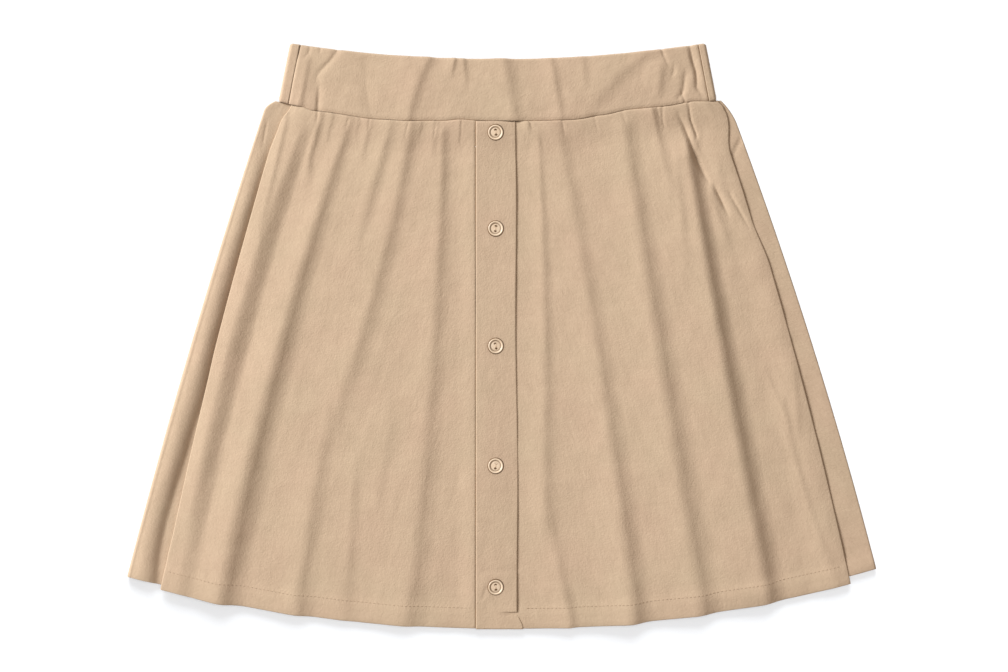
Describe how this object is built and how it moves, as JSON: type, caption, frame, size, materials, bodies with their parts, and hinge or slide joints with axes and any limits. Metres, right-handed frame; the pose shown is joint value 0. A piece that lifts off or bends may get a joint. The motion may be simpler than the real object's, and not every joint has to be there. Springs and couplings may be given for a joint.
{
  "type": "a-line skirt",
  "caption": "Short a-line skirt of brushed suedette laid flat, with a gathered elastic waistband, a buttoned centre placket and soft vertical folds.",
  "frame": {"origin": "on the surface the skirt lies on, under the middle of its bounding box", "axes": "+X across the skirt to the right as seen from above, +Y from the hem to the waistband, +Z out of the surface, through the back panel and then the front"},
  "size_m": [0.5845, 0.4567, 0.0078],
  "materials": {
    "suedette": "tan suedette with a short brushed nap",
    "button_horn": "tan horn-like plastic, satin"
  },
  "bodies": {
    "root": {"back_panel": "suedette", "front_left_panel": "suedette", "front_right_panel": "suedette", "placket": "suedette", "waistband_back": "suedette", "waistband_front": "suedette", "button_1": "button_horn", "button_2": "button_horn", "button_3": "button_horn", "button_4": "button_horn", "button_5": "button_horn"}
  },
  "joints": []
}
